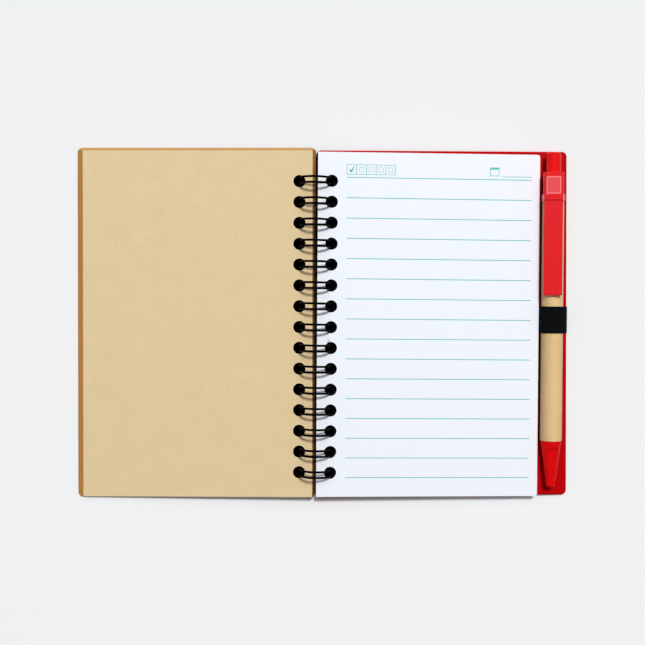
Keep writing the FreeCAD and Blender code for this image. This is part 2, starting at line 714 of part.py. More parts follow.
parts = {
    "front_cover": front_cover, "front_endpaper": front_endpaper, "page_block": page_block,
    "back_cover": back_cover, "binding_wire": binding_wire, "pen_loop": pen_loop,
    "pen_barrel": pen_barrel, "pen_nose": pen_nose, "pen_top": pen_top,
    "push_button": push_button, "cam_rotor": cam_rotor, "refill_tube": refill_tube,
    "refill_tip": refill_tip, "writing_ball": writing_ball, "return_spring": return_spring,
}

for item in doc.Objects:
    if "Invalid" in item.State or "Error" in item.State:
        raise SystemExit("object %s failed: %s" % (item.Name, item.State))

os.makedirs("parts", exist_ok=True)
everything = FreeCAD.BoundBox()
for name, item in parts.items():
    shape = item.Shape
    if shape.isNull() or not shape.isValid():
        raise SystemExit("sub-part %s has no valid shape" % name)
    if len(shape.Solids) != 1:
        raise SystemExit("sub-part %s has %d solids" % (name, len(shape.Solids)))
    shape.exportStep(os.path.join("parts", name + ".step"))
    everything.add(shape.optimalBoundingBox())
    print("%-15s %9.2f mm3" % (name, shape.Volume))

line_length = sum(edge.Length for edge in path_edges)
wire_area = math.pi * size["wire_thick"] ** 2 / 4
wire_share = binding_wire.Shape.Volume / (wire_area * line_length)
print("wire volume over section times length: %.4f" % wire_share)
print("tilts: right %.3f, left %.3f degrees" % (right_tilt, left_tilt))
print("ring axis at x %.3f, z %.3f" % (ring_x, ring_height))
print("pen axis point", right_place.multVec(Vector(size["pen_x"], 0, axis_height)))
print("pen axis direction", pen_place.Rotation.multVec(Z_AXIS))
print("spring foot", nose_place.multVec(Vector(0, 0, size["spring_seat"])))
print("whole notebook", everything)
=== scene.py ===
# %% [markdown]
# # An open notebook with wire binding and a pen
# This lesson dresses a model that was built in CAD. The CAD pieces already have their true
# shapes and places, so most of the work is on surfaces: board, kraft paper, ruled pages,
# coated wire, woven elastic and moulded plastic. Two things are modelled again because CAD
# can only hint at them: the single leaves of the page block, and the woven elastic band.
# Everything is in metres and in the CAD frame. Inside the materials lengths are in millimetres.

# %% Load the frame
import math
import random

import bmesh
import bpy
from mathutils import Matrix, Vector


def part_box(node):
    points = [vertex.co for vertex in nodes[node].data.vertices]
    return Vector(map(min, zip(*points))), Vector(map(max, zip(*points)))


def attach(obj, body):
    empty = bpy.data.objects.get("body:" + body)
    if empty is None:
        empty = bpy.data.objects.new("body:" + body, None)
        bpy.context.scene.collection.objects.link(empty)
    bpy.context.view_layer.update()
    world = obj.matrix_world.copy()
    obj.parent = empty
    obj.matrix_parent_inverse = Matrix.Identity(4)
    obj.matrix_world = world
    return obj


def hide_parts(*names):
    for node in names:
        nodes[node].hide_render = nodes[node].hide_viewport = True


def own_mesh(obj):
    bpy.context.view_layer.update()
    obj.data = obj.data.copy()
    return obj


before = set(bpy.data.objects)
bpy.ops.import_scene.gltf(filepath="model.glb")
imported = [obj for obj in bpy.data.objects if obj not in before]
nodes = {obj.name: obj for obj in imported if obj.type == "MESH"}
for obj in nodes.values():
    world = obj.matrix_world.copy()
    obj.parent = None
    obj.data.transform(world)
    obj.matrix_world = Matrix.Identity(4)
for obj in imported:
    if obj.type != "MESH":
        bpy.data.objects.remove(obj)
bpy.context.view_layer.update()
MM = 0.001
print("CAD pieces:", sorted(nodes))

# %% [markdown]
# Each half of the notebook is a flat stack that is tipped a little about the axis of the wire
# loops, until its outer edge touches the table. A pattern is easiest to describe on the flat
# stack, so this cell keeps, for every flat piece, the matrix that lays it in place. The same
# matrix turned round brings a point of the room back to the flat piece.

# %% Places of the flat pieces and of the pen
RING_X = -3.874
RING_HEIGHT = 6.65
RIGHT_TILT = 1.346
LEFT_TILT = 2.462
PAGE_HOLE = 6.4
PAGE_SKEW = -0.25
PEN_X = 96.88
PEN_HEIGHT = 2.28
PEN_LEAN = -0.26
PEN_ROLL = 15.0


def turn(degrees, axis):
    return Matrix.Rotation(math.radians(degrees), 4, axis)


def shift(x, y, z):
    return Matrix.Translation((x, y, z))


ring = shift(RING_X, 0, RING_HEIGHT)
right_half = ring @ turn(RIGHT_TILT, "Y")
left_half = ring @ turn(-LEFT_TILT, "Y")
leaf_place = right_half @ shift(PAGE_HOLE, 0, 0) @ turn(PAGE_SKEW, "Z") @ shift(-PAGE_HOLE, 0, 0)
pen_line = right_half @ shift(PEN_X, 0, PEN_HEIGHT) @ turn(PEN_LEAN, "Z")
rolled_pen = pen_line @ turn(-PEN_ROLL, "Y")
print("pen axis at mid height, mm:", [round(value, 2) for value in pen_line.translation])

# %% [markdown]
# The camera looks almost straight down from 400 mm, a little to the left of the middle, which
# is why the right-hand side of the pen shows more than its left. The three small angles and
# the lens were found by matching the holes, the corners and the printed lines. The rotation
# of a camera is the reverse of the rotation that brings the room to the camera, so the
# matrix is transposed.

# %% Camera
CAMERA_PLACE = Vector((-12.629, 7.1243, 400.0))
CAMERA_PITCH = 0.0171
CAMERA_ROLL = 0.0298
CAMERA_YAW = -0.0015
LENS = 54.07
room_to_camera = (Matrix.Rotation(CAMERA_YAW, 3, "Z") @ Matrix.Rotation(CAMERA_ROLL, 3, "Y")
                  @ Matrix.Rotation(CAMERA_PITCH, 3, "X"))
camera = bpy.data.objects.new("camera", bpy.data.cameras.new("camera"))
camera.data.sensor_width = 36.0
camera.data.lens = LENS
camera.data.clip_start = 0.01
camera.matrix_world = Matrix.Translation(CAMERA_PLACE * MM) @ room_to_camera.transposed().to_4x4()
bpy.context.scene.collection.objects.link(camera)
bpy.context.scene.camera = camera
print("camera looks along", camera.matrix_world.to_3x3() @ Vector((0, 0, -1)))

# %% [markdown]
# A shader is a small network. Writing one node at a time with its links takes many lines, so
# two short helpers do it: `place` adds a node, sets its options and fills or links its
# inputs, and `new_group` opens a node group whose sockets have names and starting values.

# %% Helpers for shader nodes
SOCKET_KINDS = {"value": "NodeSocketFloat", "vector": "NodeSocketVector", "colour": "NodeSocketColor"}


def place(tree, kind, *inputs, **options):
    """Add a node. Inputs are (socket name or number, value or socket to link)."""
    node = tree.nodes.new(kind)
    for option, value in options.items():
        setattr(node, option, value)
    for socket, value in inputs:
        if isinstance(value, bpy.types.NodeSocket):
            tree.links.new(value, node.inputs[socket])
        else:
            node.inputs[socket].default_value = value
    return node


def calc(tree, operation, first, second=0.0, third=0.0, clamp=False):
    """One step of arithmetic, as a node."""
    node = place(tree, "ShaderNodeMath", (0, first), (1, second), (2, third),
                 operation=operation, use_clamp=clamp)
    return node.outputs[0]


def blend_colours(tree, share, first, second):
    node = place(tree, "ShaderNodeMix", ("Factor", share), (6, first), (7, second), data_type="RGBA")
    return node.outputs[2]


def new_group(name, inputs, outputs):
    """An empty node group with its named sockets; returns the tree, its inputs and its exit."""
    tree = bpy.data.node_groups.new(name, "ShaderNodeTree")
    for socket, kind, start in inputs:
        made = tree.interface.new_socket(socket, in_out="INPUT", socket_type=SOCKET_KINDS[kind])
        made.default_value = start
    for socket, kind in outputs:
        tree.interface.new_socket(socket, in_out="OUTPUT", socket_type=SOCKET_KINDS[kind])
    entry = tree.nodes.new("NodeGroupInput")
    leave = tree.nodes.new("NodeGroupOutput")
    return tree, entry.outputs, leave.inputs


def use_group(tree, group, *inputs):
    """Place a node group and return its outputs."""
    return place(tree, "ShaderNodeGroup", *inputs, node_tree=group).outputs


def srgb(red, green, blue):
    """A colour as it is read off a screen, 0 to 255, as the linear colour that Blender wants."""
    values = [level / 255 for level in (red, green, blue)]
    linear = [v / 12.92 if v <= 0.04045 else ((v + 0.055) / 1.055) ** 2.4 for v in values]
    return (*linear, 1.0)


# %% [markdown]
# Paper looks alive because of what is in it: soft cloudy patches, a fine grain, and fibres
# and specks of another colour. Three noises at three scales make these. The group gives a
# colour and a height, and each paper places it with its own speck colour and strength.

# %% Group: paper fibre
CLOUD_SCALE = 0.12
CLOUD_SHARE = 0.5
GRAIN_SCALE = 1.6
GRAIN_SHARE = 1.0
FIBRE_SCALE = 1.1
FIBRE_SLANT = 0.5
FIBRE_STRETCH = (0.7, 2.2, 1.0)
SPECK_BEGINS = 0.60
SPECK_FULL = 0.72

paper_fibre, given, leave = new_group(
    "paper_fibre",
    [("Point", "vector", (0, 0, 0)), ("Paper", "colour", (1, 1, 1, 1)),
     ("Specks", "colour", (0, 0, 0, 1)), ("Speck Share", "value", 0.3), ("Grain", "value", 0.1)],
    [("Colour", "colour"), ("Height", "value")])
tree = paper_fibre
clouds = place(tree, "ShaderNodeTexNoise", ("Vector", given["Point"]), ("Scale", CLOUD_SCALE),
               ("Detail", 3.0))
grain = place(tree, "ShaderNodeTexNoise", ("Vector", given["Point"]), ("Scale", GRAIN_SCALE),
              ("Detail", 3.0))
stretched = place(tree, "ShaderNodeMapping", ("Vector", given["Point"]), ("Rotation", (0, 0, FIBRE_SLANT)),
                  ("Scale", FIBRE_STRETCH))
fibres = place(tree, "ShaderNodeTexNoise", ("Vector", stretched.outputs[0]), ("Scale", FIBRE_SCALE),
               ("Detail", 4.0), ("Roughness", 0.7))
cloud_part = calc(tree, "MULTIPLY_ADD", clouds.outputs[0], CLOUD_SHARE, -CLOUD_SHARE / 2)
grain_part = calc(tree, "MULTIPLY_ADD", grain.outputs[0], GRAIN_SHARE, -GRAIN_SHARE / 2)
both_parts = calc(tree, "ADD", cloud_part, grain_part)
level = calc(tree, "MULTIPLY_ADD", both_parts, given["Grain"], 1.0)
uneven = place(tree, "ShaderNodeVectorMath", (0, given["Paper"]), operation="SCALE")
tree.links.new(level, uneven.inputs["Scale"])
speck_mask = place(tree, "ShaderNodeMapRange", ("Value", fibres.outputs[0]), ("From Min", SPECK_BEGINS),
                   ("From Max", SPECK_FULL))
speck_share = calc(tree, "MULTIPLY", speck_mask.outputs[0], given["Speck Share"], clamp=True)
tree.links.new(blend_colours(tree, speck_share, uneven.outputs[0], given["Specks"]), leave["Colour"])
tree.links.new(calc(tree, "ADD", grain.outputs[0], fibres.outputs[0]), leave["Height"])
print("group", tree.name, "has", len(tree.nodes), "nodes")

# %% [markdown]
# The punched holes are the darkest places of the notebook, since no light gets into them. That shade is
# painted: the cut walls and a thin rim round each hole are coloured nearly black. Every paper and board
# needs this, so the group measures how far a point of the flat piece is from the nearest hole of the row
# and gives a mask.

# %% Group: painted hole shade
HOLE_PITCH = 8.467
HOLE_LOW = -60.76
HOLE_RADIUS = 2.3
HOLES = 15

painted_hole_shade, given, leave = new_group(
    "painted_hole_shade",
    [("Point", "vector", (0, 0, 0)), ("Across", "value", 0.0), ("Radius", "value", HOLE_RADIUS)],
    [("Mask", "value")])
tree = painted_hole_shade
point = place(tree, "ShaderNodeSeparateXYZ", (0, given["Point"]))
across = calc(tree, "SUBTRACT", point.outputs[0], given["Across"])
along = calc(tree, "SUBTRACT", point.outputs[1], HOLE_LOW)
turns = calc(tree, "DIVIDE", along, HOLE_PITCH)
nearest = calc(tree, "ROUND", turns)
held = calc(tree, "MINIMUM", calc(tree, "MAXIMUM", nearest, 0.0), HOLES - 1.0)
offset = calc(tree, "MULTIPLY", calc(tree, "SUBTRACT", turns, held), HOLE_PITCH)
square = calc(tree, "MULTIPLY_ADD", offset, offset, calc(tree, "MULTIPLY", across, across))
distance = calc(tree, "SQRT", square)
tree.links.new(calc(tree, "LESS_THAN", distance, given["Radius"]), leave["Mask"])
print("group", tree.name, "has", len(tree.nodes), "nodes")

# %% [markdown]
# The printing on the leaves is made of straight strokes. A stroke or a small frame is a box
# with a border, and its distance field is simple arithmetic, so the ruling stays sharp from
# any distance and no picture is needed.

# %% Group: printed box
printed_box, given, leave = new_group(
    "printed_box",
    [("Point", "vector", (0, 0, 0)), ("Middle", "vector", (0, 0, 0)), ("Half", "vector", (1, 1, 0)),
     ("Line", "value", 0.3)],
    [("Outline", "value"), ("Filled", "value")])
tree = printed_box
apart = place(tree, "ShaderNodeVectorMath", (0, given["Point"]), (1, given["Middle"]), operation="SUBTRACT")
size_off = place(tree, "ShaderNodeVectorMath", (0, apart.outputs[0]), operation="ABSOLUTE")
beyond = place(tree, "ShaderNodeVectorMath", (0, size_off.outputs[0]), (1, given["Half"]),
               operation="SUBTRACT")
sides = place(tree, "ShaderNodeSeparateXYZ", (0, beyond.outputs[0]))
outside = calc(tree, "MAXIMUM", sides.outputs[0], sides.outputs[1])
inside = calc(tree, "LESS_THAN", outside, 0.0)
hollow = calc(tree, "LESS_THAN", calc(tree, "ADD", outside, given["Line"]), 0.0)
tree.links.new(calc(tree, "SUBTRACT", inside, hollow), leave["Outline"])
tree.links.new(inside, leave["Filled"])
print("group", tree.name, "has", len(tree.nodes), "nodes")

# %% [markdown]
# Moulded plastic is never quite even: the cooling skin leaves long soft waves that show only
# in the gloss. One noise, stretched along the flow, gives a height and a gloss that varies.

# %% Group: moulded skin
FLOW_STRETCH = (1.0, 0.25, 1.0)
WAVE_SCALE = 0.6

moulded_skin, given, leave = new_group(
    "moulded_skin",
    [("Point", "vector", (0, 0, 0)), ("Gloss", "value", 0.2), ("Unevenness", "value", 0.08)],
    [("Roughness", "value"), ("Height", "value")])
tree = moulded_skin
flow = place(tree, "ShaderNodeMapping", ("Vector", given["Point"]), ("Scale", FLOW_STRETCH))
waves = place(tree, "ShaderNodeTexNoise", ("Vector", flow.outputs[0]), ("Scale", WAVE_SCALE),
              ("Detail", 2.0))
swing = calc(tree, "MULTIPLY", calc(tree, "SUBTRACT", waves.outputs[0], 0.5), given["Unevenness"])
tree.links.new(calc(tree, "ADD", given["Gloss"], swing), leave["Roughness"])
tree.links.new(waves.outputs[0], leave["Height"])
print("group", tree.name, "has", len(tree.nodes), "nodes")

# %% [markdown]
# Every material starts the same way: a Principled shader, a point of the surface in
# millimetres on the flat piece, and sometimes a bump. Reading the Object coordinates through
# a Mapping node turns the pattern with the piece, and the matrix above gives its numbers.
# One more helper puts a finished mesh or lamp into the scene.

# %% Helpers for materials and objects


def new_material(name, roughness=0.5, specular=0.5, metallic=0.0):
    material = bpy.data.materials.new(name)
    material.use_nodes = True
    tree = material.node_tree
    shader = tree.nodes["Principled BSDF"]
    shader.inputs["Roughness"].default_value = roughness
    shader.inputs["Specular IOR Level"].default_value = specular
    shader.inputs["Metallic"].default_value = metallic
    return material, tree, shader.inputs


def flat_point(tree, lay):
    """The point of the surface in millimetres, with the piece laid back flat."""
    back = lay.inverted()
    seen = place(tree, "ShaderNodeTexCoord")
    in_mm = place(tree, "ShaderNodeVectorMath", (0, seen.outputs["Object"]), operation="SCALE")
    in_mm.inputs["Scale"].default_value = 1 / MM
    laid = place(tree, "ShaderNodeMapping", ("Vector", in_mm.outputs[0]),
                 ("Location", back.translation), ("Rotation", back.to_euler("XYZ")))
    return laid.outputs[0]


def add_object(name, data):
    """Link a new object at the origin."""
    made = bpy.data.objects.new(name, data)
    bpy.context.scene.collection.objects.link(made)
    return made


def add_bump(tree, shader, height, depth_mm, strength=1.0):
    bump = place(tree, "ShaderNodeBump", ("Height", height), ("Distance", depth_mm * MM),
                 ("Strength", strength))
    tree.links.new(bump.outputs[0], shader["Normal"])


def background_rays(tree):
    """1 for rays from the camera, off gloss or through glass, which see the pale backdrop."""
    light_path = place(tree, "ShaderNodeLightPath").outputs
    either = calc(tree, "MAXIMUM", light_path["Is Camera Ray"], light_path["Is Glossy Ray"])
    return calc(tree, "MAXIMUM", either, light_path["Is Transmission Ray"])


def wear(material, *names):
    """Give a material to CAD pieces."""
    for name in names:
        nodes[name].material_slots[0].material = material


# %% [markdown]
# The boards are greyboard wrapped in paper: brown kraft with dark flecks in front, red behind.
# The brown paper is paler along its upper edge. Both covers carry painted shade at the spine, where the
# wire loops and the slit at the spine keep the light off, and inside the holes and on their rims. Each of
# these is a range of distances on the flat board, turned into a mask and painted over the paper.

# %% Materials: boards
FRONT_HOLE = -6.49
# Painted shade for the holes and a thin rim round them.
HOLE_SHADE = srgb(6, 5, 6)
SHADE_RIM = 0.18
RED_SHADE_RIM = 0.3
PAPER_BUMP = 0.5
PALE_EDGE_FROM = 70.2
PALE_EDGE_TO = 70.7
PALE_EDGE_SHARE = 0.6
# Painted shade at the spines of both covers.
SPINE_SHADE_FROM = -1.5
SPINE_SHADE_TO = -0.5
DARKEST_BELOW = 40.0
DARK_UP_TO = 70.0
DARKEST_SHARE = 0.95
TOP_SHARE = 0.4
RED_SHADE_TO = 0.7
RED_SHADE_FROM = 1.2
RED_SHADE_SHARE = 0.92


def paper_material(name, lay, colour, specks, share, grain, roughness, specular, hole_at, depth,
                   hole_radius=HOLE_RADIUS + SHADE_RIM):
    """Paper or covered board with fibres, and painted shade inside its row of holes and on their rims."""
    material, tree, shader = new_material(name, roughness, specular)
    point = flat_point(tree, lay)
    fibre = use_group(tree, paper_fibre, ("Point", point), ("Paper", colour), ("Specks", specks),
                      ("Speck Share", share), ("Grain", grain))
    # Painted shade: inside the holes and on a thin rim round them the colour is nearly black.
    hole_shade_mask = use_group(tree, painted_hole_shade, ("Point", point), ("Across", hole_at), ("Radius", hole_radius))
    seen = blend_colours(tree, hole_shade_mask["Mask"], fibre["Colour"], HOLE_SHADE)
    tree.links.new(seen, shader["Base Color"])
    add_bump(tree, shader, fibre["Height"], depth, PAPER_BUMP)
    return material, tree, shader, point, seen


brown, tree, shader, point, seen = paper_material(
    "brown_board", left_half, srgb(172, 122, 64), srgb(120, 78, 34), 0.8, 0.22, 0.75, 0.05,
    FRONT_HOLE, 0.03)
upper = place(tree, "ShaderNodeSeparateXYZ", (0, point))
# Paler along the upper edge of the board.
edge_band = place(tree, "ShaderNodeMapRange", ("Value", upper.outputs[1]), ("From Min", PALE_EDGE_FROM),
               ("From Max", PALE_EDGE_TO))
pale_edge_share = calc(tree, "MULTIPLY", edge_band.outputs[0], PALE_EDGE_SHARE)
pale = blend_colours(tree, pale_edge_share, seen, srgb(214, 180, 126))
# Painted shade at the spine: strongest below the middle of the cover and weaker towards its top.
spine_shade = place(tree, "ShaderNodeMapRange", ("Value", upper.outputs[0]), ("From Min", SPINE_SHADE_FROM),
                ("From Max", SPINE_SHADE_TO))
lower = place(tree, "ShaderNodeMapRange", ("Value", upper.outputs[1]), ("From Min", DARKEST_BELOW),
              ("From Max", DARK_UP_TO), ("To Min", DARKEST_SHARE), ("To Max", TOP_SHARE))
spine_shade_share = calc(tree, "MULTIPLY", spine_shade.outputs[0], lower.outputs[0])
tree.links.new(blend_colours(tree, spine_shade_share, pale, srgb(34, 17, 8)), shader["Base Color"])

red_cover, tree, shader, point, seen = paper_material(
    "red_board", right_half, srgb(180, 5, 8), srgb(156, 4, 6), 0.3, 0.06, 0.5, 0.02, PAGE_HOLE, 0.012,
    HOLE_RADIUS + RED_SHADE_RIM)
red_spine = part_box("back_cover")[0][0] / MM - RING_X
across = place(tree, "ShaderNodeSeparateXYZ", (0, point)).outputs[0]
# Painted shade along the red cover's spine edge, where it lies in the slit under the pages.
edge_band = place(tree, "ShaderNodeMapRange", ("Value", across), ("From Min", red_spine + RED_SHADE_FROM),
               ("From Max", red_spine + RED_SHADE_TO), ("To Max", RED_SHADE_SHARE))
tree.links.new(blend_colours(tree, edge_band.outputs[0], seen, srgb(30, 12, 9)), shader["Base Color"])
print("the red cover starts", round(red_spine, 2), "mm from the axis of the loops")
wear(brown, "front_cover")
wear(red_cover, "back_cover")

# %% [markdown]
# The endpaper is pale kraft: fine, speckled and quite matt.

# %% Material: endpaper
kraft = paper_material("kraft_paper", left_half, srgb(222, 199, 158), srgb(184, 154, 108), 0.6, 0.18,
                       0.85, 0.04, FRONT_HOLE, 0.02)[0]
wear(kraft, "front_endpaper")

# %% [markdown]
# The leaves are white with a pale green ruling: sixteen lines, a row of five small boxes with
# a tick in the first, a short rule for the date and a little calendar sign beside it. The
# lines crowd very slightly towards the lower edge, as they do on the real block that bulges
# over its wire, so the line number is a quadratic of the distance and not a plain division.

# %% Material: ruled leaf
PRINT_LEFT = 12.5
PRINT_RIGHT = 88.3
PRINT_SLOPE = 0.0032
FIRST_LINE = 59.28
LINES = 16
LINE_WIDTH = 0.34
LINES_PER_MM = 1 / 8.25
CROWDING = 1.42e-5
BOX_WIDTH = 3.94
BOX_TOP = 64.52
BOX_LOW = 60.38
BOX_LINE = 0.24
BOX_OVERLAP = 0.2
INNER_HALF = (1.05, 1.05)
INNER_LINE = 0.32
RULE_HALF_WIDTH = 0.14
SIGN_HALF = (1.9, 1.75)
SIGN_LINE = 0.26
SIGN_BAR_UP = 1.3
SIGN_BAR_HALF = (1.9, 0.45)
TICK_SHORT = ((13.7, 62.55), (14.35, 61.35), 0.62)
TICK_LONG = ((14.25, 61.3), (15.45, 63.75), 0.42)
INK = srgb(98, 196, 178)
FAINT_INK = srgb(190, 214, 216)
TICK_INK = srgb(40, 175, 150)

leaf, tree, shader, point, seen = paper_material(
    "white_paper", leaf_place, srgb(237, 243, 252), srgb(226, 232, 243), 0.25, 0.012, 0.7, 0.03,
    PAGE_HOLE, 0.006)
spot = place(tree, "ShaderNodeSeparateXYZ", (0, point))
from_left = calc(tree, "SUBTRACT", PRINT_LEFT, spot.outputs[0])
level_line = calc(tree, "MULTIPLY_ADD", from_left, PRINT_SLOPE, FIRST_LINE)
from_first = calc(tree, "SUBTRACT", level_line, spot.outputs[1])
bent = calc(tree, "MULTIPLY", calc(tree, "MULTIPLY", from_first, from_first), CROWDING)
line_number = calc(tree, "MULTIPLY_ADD", from_first, LINES_PER_MM, bent)
nearest = calc(tree, "MINIMUM", calc(tree, "MAXIMUM", calc(tree, "ROUND", line_number), 0.0), LINES - 1.0)
off_line = calc(tree, "ABSOLUTE", calc(tree, "SUBTRACT", line_number, nearest))
on_line = calc(tree, "LESS_THAN", off_line, LINE_WIDTH / 2 * LINES_PER_MM)
ruled_area = calc(tree, "MULTIPLY", calc(tree, "GREATER_THAN", spot.outputs[0], PRINT_LEFT),
                  calc(tree, "LESS_THAN", spot.outputs[0], PRINT_RIGHT))
ink_mask = calc(tree, "MULTIPLY", on_line, ruled_area)


def box_mask(middle, half, line=BOX_LINE, socket="Outline"):
    made = use_group(tree, printed_box, ("Point", point), ("Middle", (*middle, 0)),
                     ("Half", (*half, 1)), ("Line", line))
    return made[socket]


def stroke_mask(start, end, width):
    """A short straight stroke between two points of the leaf."""
    along = Vector(end) - Vector(start)
    middle = (Vector(end) + Vector(start)) / 2
    turned = place(tree, "ShaderNodeVectorRotate", ("Vector", point), ("Center", (*middle, 0)),
                   ("Angle", -math.atan2(along.y, along.x)), rotation_type="Z_AXIS")
    made = use_group(tree, printed_box, ("Point", turned.outputs[0]), ("Middle", (*middle, 0)),
                     ("Half", (along.length / 2, width / 2, 1)))
    return made["Filled"]


box_middle = (BOX_TOP + BOX_LOW) / 2
box_half = ((BOX_WIDTH + BOX_OVERLAP) / 2, (BOX_TOP - BOX_LOW) / 2)
faint_mask = 0.0
for number in range(5):
    across = PRINT_LEFT + BOX_WIDTH * (number + 0.5)
    ink_mask = calc(tree, "MAXIMUM", ink_mask, box_mask((across, box_middle), box_half))
    if number:
        inner_box = box_mask((across, box_middle), INNER_HALF, INNER_LINE)
        faint_mask = calc(tree, "MAXIMUM", faint_mask, inner_box)
RULE_START = 76.4
RULE_LEVEL = 60.3
SIGN_AT = (73.0, 62.3)
rule_middle = ((RULE_START + PRINT_RIGHT) / 2, RULE_LEVEL)
rule_half = ((PRINT_RIGHT - RULE_START) / 2, RULE_HALF_WIDTH)
ink_mask = calc(tree, "MAXIMUM", ink_mask, box_mask(rule_middle, rule_half, socket="Filled"))
ink_mask = calc(tree, "MAXIMUM", ink_mask, box_mask(SIGN_AT, SIGN_HALF, SIGN_LINE))
sign_bar = box_mask((SIGN_AT[0], SIGN_AT[1] + SIGN_BAR_UP), SIGN_BAR_HALF, socket="Filled")
ink_mask = calc(tree, "MAXIMUM", ink_mask, sign_bar)
tick = calc(tree, "MAXIMUM", stroke_mask(*TICK_SHORT), stroke_mask(*TICK_LONG))
printed = blend_colours(tree, faint_mask, seen, FAINT_INK)
printed = blend_colours(tree, ink_mask, printed, INK)
printed = blend_colours(tree, tick, printed, TICK_INK)
tree.links.new(printed, shader["Base Color"])
print("ruled leaf material has", len(tree.nodes), "nodes")

# %% [markdown]
# The page block is one solid in CAD. Here its top face, with the fifteen holes already in it,
# becomes a single leaf, and forty copies of that leaf make the block. Each copy is moved and
# turned by a hair's breadth, most of all at the lower left where the real leaves peek out, so
# the edges show thin uneven lines of light and shade, as a trimmed block does. At the spine no
# leaf stands out, or it would cut the front cover when that is pressed flat.

# %% Page block as forty leaves
LEAVES = 40
BLOCK_LOW = -2.7
BLOCK_HIGH = 0.7
LEAF_THICK = 0.068
SLIDE_ACROSS = 0.06
SLIDE_ALONG = 0.07
FAN = -0.22
FAN_SWING = 0.03
SAME_POINT = 0.001
FACES_UP = 0.9
random.seed(15)

to_leaf = leaf_place.inverted() @ Matrix.Scale(1 / MM, 4)
sheet = bmesh.new()
sheet.from_mesh(nodes["page_block"].data)
bmesh.ops.transform(sheet, matrix=to_leaf, verts=sheet.verts)
bmesh.ops.remove_doubles(sheet, verts=sheet.verts, dist=SAME_POINT)
sheet.normal_update()
not_top = [face for face in sheet.faces
           if face.normal.z < FACES_UP or face.calc_center_median().z < 0]
bmesh.ops.delete(sheet, geom=not_top, context="FACES")
bmesh.ops.dissolve_limit(sheet, angle_limit=0.01, verts=sheet.verts, edges=sheet.edges)
bmesh.ops.triangulate(sheet, faces=sheet.faces)
single_leaf = bpy.data.meshes.new("single_leaf")
sheet.to_mesh(single_leaf)
spine_side = min(vert.co.x for vert in sheet.verts)
print("one leaf has", len(sheet.faces), "faces")

block = bmesh.new()
step = (BLOCK_HIGH - BLOCK_LOW - LEAF_THICK) / (LEAVES - 1)
for number in range(LEAVES):
    depth = number / (LEAVES - 1)
    before = set(block.verts)
    block.from_mesh(single_leaf)
    fresh = [vert for vert in block.verts if vert not in before]
    slide = shift(random.uniform(-SLIDE_ACROSS, SLIDE_ACROSS),
                  random.uniform(-SLIDE_ALONG, SLIDE_ALONG), -number * step)
    skew = turn(FAN * depth + random.uniform(-FAN_SWING, FAN_SWING), "Z") if number else Matrix()
    around_row = shift(PAGE_HOLE, 0, 0) @ skew @ shift(-PAGE_HOLE, 0, 0)
    bmesh.ops.transform(block, matrix=(slide if number else Matrix()) @ around_row, verts=fresh)
    for vert in fresh:
        vert.co.x = max(vert.co.x, spine_side)
bmesh.ops.solidify(block, geom=block.faces, thickness=LEAF_THICK)
bmesh.ops.transform(block, matrix=Matrix.Scale(MM, 4) @ leaf_place, verts=block.verts)
leaves_mesh = bpy.data.meshes.new("page_leaves")
block.to_mesh(leaves_mesh)
print("page block has", len(block.faces), "faces")
block.free()
sheet.free()
page_leaves = add_object("page_leaves", leaves_mesh)
leaves_mesh.materials.append(leaf)
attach(page_leaves, "pages")
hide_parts("page_block")

# %% [markdown]
# The binding is steel wire with a black nylon coat: satin, not mirror bright, with a faint
# orange-peel skin. The coat hides the metal, so it is shaded as plastic.

# %% Material: coated wire
PEEL_SCALE = 3.0
PEEL_DEPTH = 0.02
coat, tree, shader = new_material("black_wire", 0.34, 0.015)
shader["Base Color"].default_value = srgb(3, 3, 4)
point = flat_point(tree, ring)
peel = place(tree, "ShaderNodeTexNoise", ("Vector", point), ("Scale", PEEL_SCALE), ("Detail", 2.0))
add_bump(tree, shader, peel.outputs[0], PEEL_DEPTH, 0.4)
wear(coat, "binding_wire")

# %% [markdown]
# The band that holds the pen is woven elastic. Rubber cords run along it, the yarn crosses
# over and under them, so it has raised ribs and a thicker selvedge. The ribs are in the mesh:
# a profile across the band is spun about the pen. Where the band is glued to the cover, its
# outside is pressed flat. On the outer side it leaves the pen early and slants down to the
# cover, so there is a little slack between the two.

# %% Elastic band
PEN_RADIUS = 4.38
BAND_THICK = 0.6
BAND_LOW = -3.85
BAND_WIDTH = 11.0
RIBS = 13
RIB_DEPTH = 0.09
FOOT_HALF = 3.0
SLACK = 1.2
LEAVES_PEN_AT = 45
RISES_OVER = 45
MEETS_COVER_AT = 165
FALLS_OVER = 40
SELVEDGE_DROP = 0.12
BAND_GAP = 0.02
BAND_STEPS = 96
INNER_SKIN = 0.2

band = bmesh.new()
profile = []
outer = PEN_RADIUS + BAND_THICK
for number in range(2 * RIBS + 1):
    valley = number % 2 == 0 and 0 < number < 2 * RIBS
    radius = outer - (RIB_DEPTH if valley else 0.0) - (SELVEDGE_DROP if number in (0, 2 * RIBS) else 0.0)
    profile.append((radius, BAND_LOW + BAND_WIDTH * number / (2 * RIBS)))
profile += [(PEN_RADIUS + BAND_GAP, BAND_LOW + BAND_WIDTH), (PEN_RADIUS + BAND_GAP, BAND_LOW)]
ring_verts = [band.verts.new((0, along, radius)) for radius, along in profile]
ring_edges = [band.edges.new(pair) for pair in zip(ring_verts, ring_verts[1:] + ring_verts[:1])]
bmesh.ops.spin(band, geom=ring_verts + ring_edges, cent=(0, 0, 0), axis=(0, 1, 0),
               angle=math.tau, steps=BAND_STEPS, use_merge=True)
bmesh.ops.remove_doubles(band, verts=band.verts, dist=0.0005)
